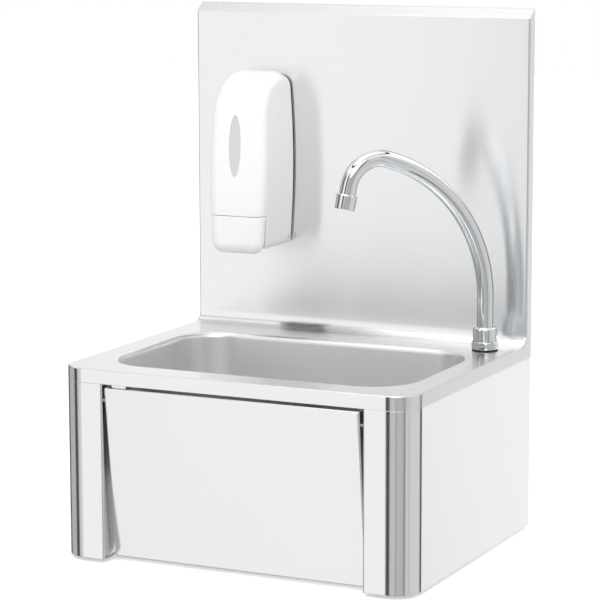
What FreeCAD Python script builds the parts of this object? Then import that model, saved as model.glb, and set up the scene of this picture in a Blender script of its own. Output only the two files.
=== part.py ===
"""Wall-hung stainless steel hand wash sink with a knee-operated valve and a soap dispenser.

The frame has its origin on the wall, at the middle of the wall rail's two screw holes and level
with the top of the deck.  +X is to the right of someone at the sink, -Y comes out of the wall
towards them and +Z is up.  All lengths are in millimetres and all angles in degrees.
"""
import FreeCAD, Part
import math
import os
import Sketcher

V = FreeCAD.Vector
doc = FreeCAD.newDocument("hand_wash_sink")
sheet = doc.addObject("Spreadsheet::Sheet", "sizes")
pieces = []


# ---------------------------------------------------------------------------------------------
# Sizes: a number together with the formula that gives it in the sheet
# ---------------------------------------------------------------------------------------------
class Size:
    def __init__(self, value, formula):
        self.value = float(value)
        self.formula = formula

    def __float__(self):
        return self.value

    def __add__(self, other):
        return join(self, "+", other, float(self) + float(other))

    def __radd__(self, other):
        return join(other, "+", self, float(other) + float(self))

    def __sub__(self, other):
        return join(self, "-", other, float(self) - float(other))

    def __rsub__(self, other):
        return join(other, "-", self, float(other) - float(self))

    def __mul__(self, other):
        return join(self, "*", other, float(self) * float(other))

    def __rmul__(self, other):
        return join(other, "*", self, float(other) * float(self))

    def __truediv__(self, other):
        return join(self, "/", other, float(self) / float(other))

    def __rtruediv__(self, other):
        return join(other, "/", self, float(other) / float(self))

    def __neg__(self):
        return Size(-self.value, "(0 - %s)" % self.formula)


def formula_of(item):
    return item.formula if isinstance(item, Size) else repr(float(item))


def join(left, sign, right, value):
    return Size(value, "(%s %s %s)" % (formula_of(left), sign, formula_of(right)))


def sine(angle):
    return Size(math.sin(math.radians(float(angle))), "sin(%s)" % formula_of(angle))


def cosine(angle):
    return Size(math.cos(math.radians(float(angle))), "cos(%s)" % formula_of(angle))


def tangent(angle):
    return Size(math.tan(math.radians(float(angle))), "tan(%s)" % formula_of(angle))


def root(item):
    return Size(math.sqrt(float(item)), "sqrt(%s)" % formula_of(item))


rows = []


def size(name, value, meaning):
    """Write one driving dimension into the sheet and give it back with its formula."""
    rows.append(name)
    row = len(rows)
    sheet.set("A%d" % row, meaning)
    sheet.set("B%d" % row, repr(float(value)))
    sheet.setAlias("B%d" % row, name)
    return Size(value, "sizes.%s" % name)


# deck, splash and cabinet
deck_width = size("deck_width", 400, "overall width")
deck_depth = size("deck_depth", 330, "wall to front of the deck")
body_height = size("body_height", 202, "top of the deck to the lower edge of the side panels")
splash_height = size("splash_height", 353, "top of the deck to the upper fold of the splash")
splash_standoff = size("splash_standoff", 14, "face of the splash in front of the wall")
flange_rise = size("flange_rise", 10, "rise of the slanted top flange")
cove_radius = size("cove_radius", 13, "cove between deck and splash")
apron_height = size("apron_height", 15, "turned-down edge of the deck")
corner_radius = size("corner_radius", 27.5, "front corners in plan")
sheet_gauge = size("sheet_gauge", 1.2, "thickness of the stainless sheet")
column_width = size("column_width", 52, "front column, outer side to opening")
return_depth = size("return_depth", 34, "column's return beside the knee panel")
return_round = size("return_round", 16, "rounded lower rear corner of the return")
fold_radius = size("fold_radius", 2, "outer radius of a tight fold")
rear_flange = size("rear_flange", 26, "side panel's flange on the wall")
lap_height = size("lap_height", 12, "side panel's joggled edge behind the apron")
relief_slot = size("relief_slot", 0.8, "relief slot between apron and splash return")
relief_drop = size("relief_drop", 4, "relief slot below the top of the deck")

# bowl and waste
side_land = size("side_land", 25, "deck beside the bowl")
back_land = size("back_land", 72, "wall to the back of the bowl")
front_land = size("front_land", 32, "deck in front of the bowl")
bowl_corner = size("bowl_corner", 55, "bowl opening's corners")
bowl_depth = size("bowl_depth", 145, "deck to bottom of the bowl")
rim_radius = size("rim_radius", 6, "bend from deck into bowl")
wall_lean = size("wall_lean", 12, "how far the bowl's wall leans in")
heel_radius = size("heel_radius", 30, "bend from bowl wall to bottom")
waste_bore = size("waste_bore", 60, "hole in the bottom of the bowl")
waste_tail = size("waste_tail", 40, "outside of the waste's threaded tail")
strainer_width = size("strainer_width", 84, "flange of the strainer")

# knee panel
panel_gap = size("panel_gap", 3, "knee panel to column's return")
panel_length = size("panel_length", 185, "knee panel, top edge to bottom edge")
panel_flange = size("panel_flange", 12, "knee panel's turned-back edges")
panel_tilt = size("panel_tilt", 6.3, "knee panel's slope at rest")
pivot_setback = size("pivot_setback", 4.3, "pivot behind the front of the columns")
pivot_drop = size("pivot_drop", 32.6, "pivot below the top of the deck")
pivot_cover = size("pivot_cover", 4.7, "pivot behind the panel's face")
panel_rise = size("panel_rise", 15, "panel's top edge above its pivot")
pivot_radius = size("pivot_radius", 2, "pivot pin")
stop_width = size("stop_width", 17, "tongue that stops the panel")
stop_inset = size("stop_inset", 16.5, "tongue's middle from the knee panel's left edge")

# push valve
valve_drop = size("valve_drop", 172, "push valve's axis below the deck")
knee_travel = size("knee_travel", 4, "how far the knee panel turns")
neck_radius = size("neck_radius", 10.5, "threaded neck of the push valve")
stem_radius = size("stem_radius", 4, "valve plunger's stem")
chamber_radius = size("chamber_radius", 13, "push valve's body")
pipe_radius = size("pipe_radius", 5, "outside of the pipes")
pipe_bend = size("pipe_bend", 25, "bends of the pipes, on the middle line")

# mixing valve
mixer_offset = size("mixer_offset", -95, "mixing valve's middle, right of the sink's middle")
mixer_setback = size("mixer_setback", 45, "mixing valve's axis in front of the wall")
inlet_spacing = size("inlet_spacing", 50, "between the hot and the cold inlet")
inlet_radius = size("inlet_radius", 10.48, "outside of a half-inch pipe thread")

# spout
spout_inset = size("spout_inset", 31, "spout's upright from the right side")
spout_ahead = size("spout_ahead", 57.7, "spout's upright in front of the wall")
spout_turn = size("spout_turn", 49.3, "spout turned out of the line of the splash")
tube_radius = size("tube_radius", 9, "spout tube")
upright_height = size("upright_height", 57, "spout tube's straight upright")
sweep_radius = size("sweep_radius", 160, "spout tube's large bend")
sweep_angle = size("sweep_angle", 71, "spout tube's large bend")
crown_run = size("crown_run", 8, "straight run between the two bends")
crook_radius = size("crook_radius", 35, "spout tube's small bend")
crook_angle = size("crook_angle", 97, "spout tube's small bend")
nose_run = size("nose_run", 24.6, "end of the small bend to the nozzle's mouth")
nozzle_length = size("nozzle_length", 16, "outlet nozzle")
nozzle_radius = size("nozzle_radius", 11.2, "outlet nozzle at its shoulder")
base_radius = size("base_radius", 14.5, "ring with wrench flats at the foot")
base_height = size("base_height", 10, "ring with wrench flats at the foot")
cap_radius = size("cap_radius", 13.3, "domed swivel nut")
cap_height = size("cap_height", 15, "domed swivel nut")
shank_radius = size("shank_radius", 10, "threaded shank through the deck")
shank_length = size("shank_length", 46, "shank below the top of the deck")

# wall rail
rail_spacing = size("rail_spacing", 280, "between the wall rail's screw holes")
rail_hole = size("rail_hole", 4.5, "radius of the wall rail's screw holes")
rail_gauge = size("rail_gauge", 2, "thickness of the wall rail")
rail_inset = size("rail_inset", 30, "wall rail's ends from the sides")
hook_height = size("hook_height", 52, "top of the wall rail's lip above the deck")
hook_leaf = size("hook_leaf", 35, "height of the strip welded on the splash")
foot_inset = size("foot_inset", 14, "lower screw holes from the sides")
foot_drop = size("foot_drop", 175, "lower screw holes below the deck")
foot_hole = size("foot_hole", 3.5, "radius of the lower screw holes")

# soap dispenser
soap_offset = size("soap_offset", -112.8, "dispenser's middle, right of the sink's middle")
soap_foot = size("soap_foot", 92, "dispenser's lower edge above the deck")
soap_height = size("soap_height", 198, "dispenser's cover, foot to the crest of its top")
soap_half_width = size("soap_half_width", 34.2, "half of the cover's greatest width")
soap_reach = size("soap_reach", 86, "splash to the cover's front at its foot")
soap_lean = size("soap_lean", 11, "how far the cover's front leans back over its height")
soap_taper = size("soap_taper", 4.4, "how much narrower each side is at the foot and the top")
soap_foot_round = size("soap_foot_round", 14, "lower corners of the cover, seen from the front")
soap_wall = size("soap_wall", 2, "wall of the cover")
soap_corner = size("soap_corner", 13, "rounding of the cover's front edges")
plate_gauge = size("plate_gauge", 3, "dispenser's back plate")
bar_height = size("bar_height", 42, "push bar")
bar_travel = size("bar_travel", 5, "how far the push bar turns")
window_width = size("window_width", 14, "level window")
window_height = size("window_height", 68, "level window")
window_rise = size("window_rise", 119, "level window's middle above the cover's lower edge")

# clearances
running = size("running", 0.05, "radial clearance of a running fit")
seat = size("seat", 0.3, "gap of pieces that sit on each other and move")
doc.recompute()

half_width = deck_width / 2
front = -deck_depth
splash_face = -splash_standoff
floor_level = -body_height
panel_half = half_width - column_width - panel_gap
pivot_y = front + pivot_setback
bowl_width = deck_width - 2 * side_land
bowl_front = front + front_land
bowl_back = -back_land
bowl_reach = bowl_back - bowl_front
bowl_middle = bowl_front + bowl_reach / 2
spout_right = half_width - spout_inset
stop_offset = stop_inset - panel_half
rail_width = deck_width - 2 * rail_inset


# ---------------------------------------------------------------------------------------------
# Building helpers
# ---------------------------------------------------------------------------------------------
def new_body(label, alone=True):
    """A body; one that goes into a group is not a piece of its own."""
    body = doc.addObject("PartDesign::Body", label)
    body.Label = label
    if alone:
        pieces.append(body)
    return body


def plane_of(body, role):
    return [item for item in body.Origin.OriginFeatures if item.Role == role][0]


def new_sketch(body, role, lift=0.0):
    """A sketch on one of the body's own planes, lifted along that plane's normal."""
    drawing = body.newObject("Sketcher::SketchObject", body.Label + "_sketch")
    drawing.AttachmentSupport = [(plane_of(body, role), "")]
    drawing.MapMode = "FlatFace"
    drawing.AttachmentOffset.Base = V(0, 0, float(lift))
    bind(drawing, "AttachmentOffset.Base.z", lift)
    return drawing


def bind(item, path, value):
    if isinstance(value, Size):
        item.setExpression(path, value.formula)


def pin_point(drawing, geometry, end, x, y):
    """Hold one end or centre of a sketch element at a place that follows the sheet."""
    for kind, value in (("DistanceX", x), ("DistanceY", y)):
        index = drawing.addConstraint(Sketcher.Constraint(kind, -1, 1, geometry, end, float(value)))
        if isinstance(value, Size):
            drawing.setExpression("Constraints[%d]" % index, value.formula)


def draw_outline(drawing, points):
    """Close an outline of straight runs; a point (x, y, r) is rounded with radius r."""
    count = len(points)
    ends = []
    for index in range(count):
        before, here, after = points[index - 1], points[index], points[(index + 1) % count]
        corner = V(float(here[0]), float(here[1]), 0)
        if len(here) == 2:
            ends.append((here, here, None, None))
            continue
        back, ahead = unit(before, here), unit(after, here)
        reach = here[2] * half_turn(before, here, after)
        start = (here[0] + back[0] * reach, here[1] + back[1] * reach)
        stop = (here[0] + ahead[0] * reach, here[1] + ahead[1] * reach)
        ends.append((start, stop, here[2], corner))
    lines = []
    for index in range(count):
        a, b = ends[index][1], ends[(index + 1) % count][0]
        lines.append(drawing.addGeometry(Part.LineSegment(spot(a), spot(b)), False))
    for index in range(count):
        start, stop, radius, corner = ends[index]
        if radius is None:
            drawing.addConstraint(Sketcher.Constraint("Coincident", lines[index - 1], 2, lines[index], 1))
            pin_point(drawing, lines[index], 1, start[0], start[1])
            continue
        a, b = spot(start), spot(stop)
        half = (a - b).Length / 2
        inward = ((a + b) * 0.5 - corner).normalize()
        centre = (a + b) * 0.5 + inward * math.sqrt(max(float(radius) ** 2 - half ** 2, 0.0))
        low, high = angle_to(centre, a), angle_to(centre, b)
        first, last = 1, 2
        if (high - low) % (2 * math.pi) > math.pi:
            low, high, first, last = high, low, 2, 1
        circle = Part.Circle(centre, V(0, 0, 1), float(radius))
        bend = drawing.addGeometry(Part.ArcOfCircle(circle, low, low + (high - low) % (2 * math.pi)), False)
        drawing.addConstraint(Sketcher.Constraint("Coincident", lines[index - 1], 2, bend, first))
        drawing.addConstraint(Sketcher.Constraint("Coincident", lines[index], 1, bend, last))
        pin_point(drawing, lines[index - 1], 2, start[0], start[1])
        pin_point(drawing, lines[index], 1, stop[0], stop[1])
        held = drawing.addConstraint(Sketcher.Constraint("Radius", bend, float(radius)))
        if isinstance(radius, Size):
            drawing.setExpression("Constraints[%d]" % held, radius.formula)


def spot(point):
    return V(float(point[0]), float(point[1]), 0)


def angle_to(centre, point):
    return math.atan2(point.y - centre.y, point.x - centre.x)


def unit(there, here):
    dx, dy = there[0] - here[0], there[1] - here[1]
    if float(dy) == 0.0:
        return (math.copysign(1.0, float(dx)), 0.0)
    if float(dx) == 0.0:
        return (0.0, math.copysign(1.0, float(dy)))
    length = root(dx * dx + dy * dy)
    return (dx / length, dy / length)


def half_turn(before, here, after):
    """Tangent of half the turn at a corner: the reach of a rounding over its radius."""
    a, b = spot(before) - spot(here), spot(after) - spot(here)
    inner = a.getAngle(b)
    if abs(inner - math.pi / 2) < 1e-9:
        return 1.0
    return 1.0 / math.tan(inner / 2)


def box_points(x_low, x_high, y_low, y_high, radius=None):
    points = [(x_low, y_low), (x_high, y_low), (x_high, y_high), (x_low, y_high)]
    if radius is None:
        return points
    return [(x, y, radius) for x, y in points]


def draw_circle(drawing, x, y, radius):
    circle = Part.Circle(V(float(x), float(y), 0), V(0, 0, 1), float(radius))
    ring = drawing.addGeometry(circle, False)
    pin_point(drawing, ring, 3, x, y)
    index = drawing.addConstraint(Sketcher.Constraint("Radius", ring, float(radius)))
    if isinstance(radius, Size):
        drawing.setExpression("Constraints[%d]" % index, radius.formula)


def feature(body, kind, drawing, length=None, back=False, both=False):
    """Pad or Pocket of a sketch along its normal (or against it with back=True)."""
    item = body.newObject("PartDesign::" + kind, body.Label + "_" + kind.lower())
    item.Profile = drawing
    if length is None:
        item.Type = "ThroughAll"
        item.SideType = "Symmetric"
    else:
        item.Length = float(length)
        bind(item, "Length", length)
    if both:
        item.SideType = "Symmetric"
    item.Reversed = back
    doc.recompute()
    return item


def pad(body, role, points, length, lift=0.0, back=False, both=False):
    drawing = new_sketch(body, role, lift)
    draw_outline(drawing, points)
    return feature(body, "Pad", drawing, length, back, both)


def pocket(body, role, points, length=None, lift=0.0, back=False, both=False):
    drawing = new_sketch(body, role, lift)
    draw_outline(drawing, points)
    return feature(body, "Pocket", drawing, length, back, both)


def drill(body, role, holes, length=None, lift=0.0, back=False, both=False):
    """Round holes (x, y, radius) on one plane of the body."""
    drawing = new_sketch(body, role, lift)
    for x, y, radius in holes:
        draw_circle(drawing, x, y, radius)
    return feature(body, "Pocket", drawing, length, back, both)


def disc(body, role, x, y, radius, length, lift=0.0, back=False, both=False):
    """A round pad, for bosses and pins."""
    drawing = new_sketch(body, role, lift)
    draw_circle(drawing, x, y, radius)
    return feature(body, "Pad", drawing, length, back, both)


def turn(body, points, cut=False):
    """Revolve an outline of (radius, height) about the body's own Z axis."""
    drawing = new_sketch(body, "XZ_Plane")
    draw_outline(drawing, points)
    kind = "Groove" if cut else "Revolution"
    item = body.newObject("PartDesign::" + kind, body.Label + "_turned")
    item.Profile = drawing
    item.ReferenceAxis = (drawing, ["V_Axis"])
    item.Angle = 360
    doc.recompute()
    return item


def place(item, x=0.0, y=0.0, z=0.0, axis=V(0, 0, 1), angle=0.0):
    item.Placement = FreeCAD.Placement(V(float(x), float(y), float(z)),
                                       FreeCAD.Rotation(axis, float(angle)))
    for path, value in (("x", x), ("y", y), ("z", z)):
        bind(item, "Placement.Base." + path, value)
    bind(item, "Placement.Rotation.Angle", angle)
    return item


def edges_of(item, test):
    return ["Edge%d" % (index + 1) for index, edge in enumerate(item.Shape.Edges) if test(edge)]


def soften(body, base, radius, test, kind="Fillet"):
    """Round (or bevel) the edges of the last feature that pass the test."""
    names = edges_of(base, test)
    item = body.newObject("PartDesign::" + kind, body.Label + "_" + kind.lower())
    item.Base = (base, names)
    prop = "Radius" if kind == "Fillet" else "Size"
    setattr(item, prop, float(radius))
    bind(item, prop, radius)
    doc.recompute()
    return item


def is_vertical(edge):
    box = edge.BoundBox
    return box.XLength < 1e-4 and box.YLength < 1e-4 and box.ZLength > 1e-3


def primitive(kind, label, **values):
    item = doc.addObject("Part::" + kind, label)
    for name, value in values.items():
        setattr(item, name, float(value))
        bind(item, name, value)
    return item


def rod(label, radius, length, x=0.0, y=0.0, z=0.0, axis=V(0, 0, 1), angle=0.0):
    item = primitive("Cylinder", label, Radius=radius, Height=length)
    return place(item, x, y, z, axis, angle)


def cut(label, base, tool):
    item = doc.addObject("Part::Cut", label)
    item.Base, item.Tool = base, tool
    return item


def group(label, members):
    """Identical pieces that share one node."""
    item = doc.addObject("Part::Compound", label)
    item.Label = label
    item.Links = members
    pieces.append(item)
    return item


def shaped(label, shape):
    item = doc.addObject("Part::Feature", label)
    item.Label = label
    item.Shape = shape
    pieces.append(item)
    return item


ACROSS = V(0, 1, 0)   # turns a piece's own Z axis onto X when the angle is 90
ALONG = V(1, 0, 0)    # turns a piece's own Z axis onto -Y when the angle is 90


# ---------------------------------------------------------------------------------------------
# Worktop: deck, apron, cove, splash, slanted top flange and side returns, one folded sheet
# ---------------------------------------------------------------------------------------------
gauge = sheet_gauge
slant = root(splash_standoff * splash_standoff + flange_rise * flange_rise)
block_back = splash_face - cove_radius - 20

worktop = new_body("worktop")
pad(worktop, "XY_Plane",
    [(-half_width, front, corner_radius), (half_width, front, corner_radius),
     (half_width, 0), (-half_width, 0)],
    apron_height, lift=-apron_height)
rise = pad(worktop, "YZ_Plane",
           [(block_back, -apron_height), (block_back, 0), (splash_face, 0, cove_radius),
            (splash_face, splash_height), (0, splash_height + flange_rise), (0, -apron_height)],
           deck_width, both=True)
soften(worktop, rise, 1.5,
       lambda edge: edge.BoundBox.ZMin > -1e-3 and edge.BoundBox.ZMax < float(cove_radius) + 1e-3
       and edge.BoundBox.YMax < float(splash_face) + 1e-3
       and (edge.BoundBox.YMin < float(front) + 30 or abs(edge.BoundBox.XMin) > float(half_width) - 1e-3))
pocket(worktop, "XY_Plane",
       [(-half_width + gauge, front + gauge, corner_radius - gauge),
        (half_width - gauge, front + gauge, corner_radius - gauge),
        (half_width - gauge, block_back), (-half_width + gauge, block_back)],
       apron_height - gauge, lift=-apron_height, back=True)
pocket(worktop, "YZ_Plane",
       [(block_back, -apron_height), (block_back, -gauge),
        (splash_face + gauge, -gauge, cove_radius + gauge),
        (splash_face + gauge, splash_height - gauge * (slant - flange_rise) / splash_standoff),
        (0, splash_height + flange_rise - gauge * slant / splash_standoff), (0, -apron_height)],
       deck_width - 2 * gauge, both=True)
pocket(worktop, "XY_Plane",
       box_points(-bowl_width / 2, bowl_width / 2, bowl_front, bowl_back, bowl_corner),
       2 * gauge, both=True)
drill(worktop, "XY_Plane", [(spout_right, -spout_ahead, shank_radius + 0.3)], 2 * gauge, both=True)
pocket(worktop, "YZ_Plane",
       box_points(-9, 0, -relief_drop, -relief_drop + relief_slot), deck_width + 2, both=True)
drill(worktop, "XZ_Plane",
      [(soap_offset, soap_foot + 60, 2.2), (soap_offset, soap_foot + 150, 2.2)],
      2 * gauge, lift=splash_standoff, back=False, both=True)

# ---------------------------------------------------------------------------------------------
# Bowl: one wall profile carried round the opening, and its bottom
# ---------------------------------------------------------------------------------------------
bowl = new_body("bowl")
place(bowl, 0, bowl_middle, 0)
half_bowl = bowl_width / 2
half_reach = bowl_reach / 2
track = new_sketch(bowl, "XY_Plane")
corners = [(half_bowl, half_reach, bowl_corner), (-half_bowl, half_reach, bowl_corner),
           (-half_bowl, -half_reach, bowl_corner), (half_bowl, -half_reach, bowl_corner),
           (half_bowl, 0)]
draw_outline(track, corners)
section = new_sketch(bowl, "XZ_Plane")
bowl_inset = rim_radius + wall_lean + heel_radius
edge_x = half_bowl
draw_outline(section, [
    (edge_x, 0), (edge_x - rim_radius, 0, rim_radius),
    (edge_x - rim_radius - wall_lean, -bowl_depth, heel_radius),
    (edge_x - bowl_inset, -bowl_depth),
    (edge_x - bowl_inset, -bowl_depth - gauge),
    (edge_x - rim_radius - wall_lean + gauge, -bowl_depth - gauge, heel_radius + gauge),
    (edge_x - rim_radius + gauge, -gauge, rim_radius - gauge), (edge_x, -gauge)])
shell = bowl.newObject("PartDesign::AdditivePipe", "bowl_wall")
shell.Profile = section
shell.Spine = (track, [])
doc.recompute()
pad(bowl, "XY_Plane",
    box_points(-half_bowl + bowl_inset - 1, half_bowl - bowl_inset + 1,
               -half_reach + bowl_inset - 1, half_reach - bowl_inset + 1,
               bowl_corner - bowl_inset + 1),
    gauge, lift=-bowl_depth - gauge)
drill(bowl, "XY_Plane", [(0, 0, waste_bore / 2)], 4 * gauge, lift=-bowl_depth, both=True)

# ---------------------------------------------------------------------------------------------
# Side panels: side, rounded corner, front column, return, flange on the wall, joggled top edge
# ---------------------------------------------------------------------------------------------
panel_height = body_height - apron_height
opening = half_width - column_width


def side_panel(label, side):
    body = new_body(label)
    inner_fold = fold_radius - gauge
    outline = [
        (side * opening, front + return_depth),
        (side * opening, front, fold_radius),
        (side * half_width, front, corner_radius),
        (side * half_width, 0, fold_radius),
        (side * (half_width - rear_flange), 0),
        (side * (half_width - rear_flange), -gauge),
        (side * (half_width - gauge), -gauge, inner_fold),
        (side * (half_width - gauge), front + gauge, corner_radius - gauge),
        (side * (opening + gauge), front + gauge, inner_fold),
        (side * (opening + gauge), front + return_depth)]
    pad(body, "XY_Plane", outline, panel_height, lift=floor_level)
    lap = [
        (side * (opening + 4), front + gauge),
        (side * (half_width - gauge), front + gauge, corner_radius - gauge),
        (side * (half_width - gauge), -12),
        (side * (half_width - 2 * gauge), -12),
        (side * (half_width - 2 * gauge), front + 2 * gauge, corner_radius - 2 * gauge),
        (side * (opening + 4), front + 2 * gauge)]
    pad(body, "XY_Plane", lap, 2 * lap_height + 3, lift=-apron_height - lap_height - 3)
    end = front + return_depth
    pocket(body, "YZ_Plane",
           [(end - return_round - 2, floor_level), (end, floor_level, return_round),
            (end, floor_level + return_round + 2), (end + 4, floor_level + return_round + 2),
            (end + 4, floor_level - 4), (end - return_round - 2, floor_level - 4)],
           6 * gauge, lift=side * opening, both=True)
    drill(body, "XZ_Plane", [(side * (half_width - foot_inset), -foot_drop, foot_hole)], 4 * gauge, both=True)
    drill(body, "YZ_Plane", [(pivot_y, -pivot_drop, pivot_radius + running)],
          6 * gauge, lift=side * opening, both=True)
    return body


left_panel = side_panel("left_side_panel", -1)
right_panel = side_panel("right_side_panel", 1)

# ---------------------------------------------------------------------------------------------
# Wall rail and the strip on the back of the splash that hooks over it
# ---------------------------------------------------------------------------------------------
lip_top = hook_height
rail = new_body("wall_rail")
pad(rail, "YZ_Plane",
    [(-rail_gauge, -20), (0, -20), (0, 40), (-7 + rail_gauge, 40), (-7 + rail_gauge, lip_top),
     (-7, lip_top), (-7, 40 - rail_gauge), (-rail_gauge, 40 - rail_gauge)],
    rail_width, both=True)
drill(rail, "XZ_Plane", [(-rail_spacing / 2, 0, rail_hole), (rail_spacing / 2, 0, rail_hole)],
      3 * rail_gauge, both=True)

strip_back = splash_face + gauge
strip = new_body("hanger_strip")
pad(strip, "YZ_Plane",
    [(strip_back, lip_top), (-4.5, lip_top), (-4.5, 42), (-3, 42), (-3, lip_top + 1.5),
     (strip_back + 1.5, lip_top + 1.5), (strip_back + 1.5, lip_top + hook_leaf),
     (strip_back, lip_top + hook_leaf)],
    rail_width - 10, both=True)

# ---------------------------------------------------------------------------------------------
# Knee panel on its two pivots, and the stop behind its top edge
# ---------------------------------------------------------------------------------------------
panel_foot = panel_rise - panel_length
knee = new_body("knee_panel")
place(knee, 0, pivot_y, -pivot_drop, V(1, 0, 0), panel_tilt)
pan = pad(knee, "XZ_Plane",
          [(-panel_half, panel_foot, 3), (panel_half, panel_foot, 3),
           (panel_half, panel_rise, 2), (-panel_half, panel_rise, 2)],
          panel_flange, lift=pivot_cover, back=True)
soften(knee, pan, fold_radius, lambda edge: abs(edge.BoundBox.YMax + float(pivot_cover)) < 1e-3)
pocket(knee, "XZ_Plane",
       [(-panel_half + gauge, panel_foot + gauge, 1.8), (panel_half - gauge, panel_foot + gauge, 1.8),
        (panel_half - gauge, panel_rise - gauge, 0.8), (-panel_half + gauge, panel_rise - gauge, 0.8)],
       panel_flange - gauge, lift=pivot_cover - panel_flange, back=True)
pocket(knee, "XY_Plane",
       box_points(stop_offset - stop_width / 2 - 3, stop_offset + stop_width / 2 + 3,
                  -pivot_cover + gauge, panel_flange),
       6 * gauge, lift=panel_rise, both=True)
drill(knee, "YZ_Plane", [(0, 0, pivot_radius + running)], 2 * panel_half + 4, both=True)

stop = new_body("panel_stop")
apron_back = front + gauge
pad(stop, "XZ_Plane",
    box_points(stop_offset - stop_width / 2, stop_offset + stop_width / 2, -28, -3),
    1.5, lift=-apron_back, back=True)
lean = tangent(panel_tilt)
face_inside = pivot_y - (pivot_cover - gauge) / cosine(panel_tilt)
buffer = new_body("stop_buffer")
pad(buffer, "YZ_Plane",
    [(face_inside + seat - (pivot_drop - 20) * lean, -20), (apron_back, -20), (apron_back, -27),
     (face_inside + seat - (pivot_drop - 27) * lean, -27)],
    stop_width - 3, lift=stop_offset, both=True)


thread_radius = pivot_radius - 0.5


def pivot_screw(side):
    body = new_body("pivot_screw", alone=False)
    shoulder = panel_gap + 2 * gauge + seat
    turn(body, [(0, -shoulder - 4.2), (thread_radius, -shoulder - 4.2), (thread_radius, -shoulder),
                (pivot_radius, -shoulder), (pivot_radius, 0), (2.9, 0), (2.9, 1.4), (2.3, 2), (0, 2)])
    return place(body, side * (opening + gauge), pivot_y, -pivot_drop, V(0, 1, 0), side * 90)


def hex_nut(body, across, height, bore, bottom=0.0):
    """Hexagonal nut about the body's Z axis with its bore."""
    reach = across / 2 / cosine(30)
    points = []
    for step in range(6):
        turned = 60 * step
        points.append((reach * math.cos(math.radians(turned)), reach * math.sin(math.radians(turned))))
    pad(body, "XY_Plane", points, height, lift=bottom)
    drill(body, "XY_Plane", [(0, 0, bore)], 3 * height + 2 * abs(float(bottom)), lift=bottom, both=True)
    return body


def pivot_nut(side):
    body = new_body("pivot_nut", alone=False)
    hex_nut(body, 5.5, 2.4, thread_radius)
    return place(body, side * (panel_half - gauge - seat - 0.6), pivot_y, -pivot_drop,
                 V(0, 1, 0), -side * 90)


def ring(label, inner, outer, height, x=0.0, y=0.0, z=0.0, axis=V(0, 0, 1), angle=0.0, alone=True):
    body = new_body(label, alone)
    turn(body, [(inner, 0), (outer, 0), (outer, height), (inner, height)])
    return place(body, x, y, z, axis, angle)


group("pivot_screws", [pivot_screw(-1), pivot_screw(1)])
group("pivot_washers", [ring("pivot_washer", thread_radius, 3.1, 0.6,
                             side * (panel_half - gauge - seat), pivot_y, -pivot_drop,
                             V(0, 1, 0), -side * 90, alone=False) for side in (-1, 1)])
group("pivot_nuts", [pivot_nut(-1), pivot_nut(1)])

# ---------------------------------------------------------------------------------------------
# Push valve behind the knee panel.  Its bodies are built with their own Z axis pointing out of
# the sink's front, and laid down by turning them about X.
# ---------------------------------------------------------------------------------------------
flat_front = bowl_front + bowl_inset
leaf_front = bowl_front + 14
under_bowl = -bowl_depth - gauge
bracket = new_body("valve_bracket")
pad(bracket, "YZ_Plane",
    [(leaf_front, under_bowl), (flat_front + 19, under_bowl), (flat_front + 19, under_bowl - 1.5),
     (leaf_front + 1.5, under_bowl - 1.5), (leaf_front + 1.5, -valve_drop - 18),
     (leaf_front, -valve_drop - 18)],
    44, both=True)
drill(bracket, "XZ_Plane", [(0, -valve_drop, neck_radius + 0.1)], 8, lift=-leaf_front, both=True)

OUT = V(1, 0, 0)
port = chamber_radius + 9
valve = new_body("valve_body")
turn(valve, [(stem_radius + running, -12), (stem_radius + running, 12), (neck_radius - 1, 12),
             (neck_radius, 11), (neck_radius, -7), (chamber_radius, -7), (chamber_radius, -38),
             (0, -38), (0, -28), (6, -28), (6, -12)])
for side in (-1, 1):
    disc(valve, "YZ_Plane", 0, -26, 8, port - 7, lift=side * 7, back=side < 0)
drill(valve, "YZ_Plane", [(0, -26, pipe_radius)], 12, lift=-port, back=True)
drill(valve, "YZ_Plane", [(0, -26, pipe_radius)], 12, lift=port)
place(valve, 0, leaf_front, -valve_drop, OUT, 90)
port_y = leaf_front + 26

group("valve_nuts", [
    place(hex_nut(new_body("valve_nut", alone=False), 27, 4, neck_radius),
          0, leaf_front + where, -valve_drop, OUT, 90) for where in (0, 5.5)])

nose = pivot_y - (pivot_cover - gauge) / cosine(panel_tilt) + (valve_drop - pivot_drop) * lean + 0.9
stem = leaf_front - nose
plunger = new_body("valve_plunger")
turn(plunger, [(0, -11), (stem_radius, -11), (stem_radius, stem - 5), (9, stem - 5),
               (9, stem - 2.6), (3, stem, 8), (0, stem)])
place(plunger, 0, leaf_front, -valve_drop, OUT, 90)


# ---------------------------------------------------------------------------------------------
# Pipes
# ---------------------------------------------------------------------------------------------
def bent_tube(label, points, outside, inside, bend):
    """A tube of straight runs joined by tangent bends."""
    nodes = [V(*[float(value) for value in point]) for point in points]
    edges = []
    start = nodes[0]
    for before, here, after in zip(nodes, nodes[1:], nodes[2:]):
        back = (before - here).normalize()
        ahead = (after - here).normalize()
        reach = float(bend) / math.tan(back.getAngle(ahead) / 2)
        first = here + back * reach
        last = here + ahead * reach
        toward = (back + ahead).normalize()
        centre = here + toward * (float(bend) / math.sin(back.getAngle(ahead) / 2))
        edges.append(Part.LineSegment(start, first).toShape())
        edges.append(Part.Arc(first, centre - toward * float(bend), last).toShape())
        start = last
    edges.append(Part.LineSegment(start, nodes[-1]).toShape())
    path = Part.Wire(edges)
    heading = (nodes[1] - nodes[0]).normalize()
    solids = []
    for radius in (outside, inside):
        rim = Part.Wire([Part.Circle(nodes[0], heading, float(radius)).toShape()])
        solids.append(path.makePipeShell([rim], True, False))
    return shaped(label, solids[0].cut(solids[1]))


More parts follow.
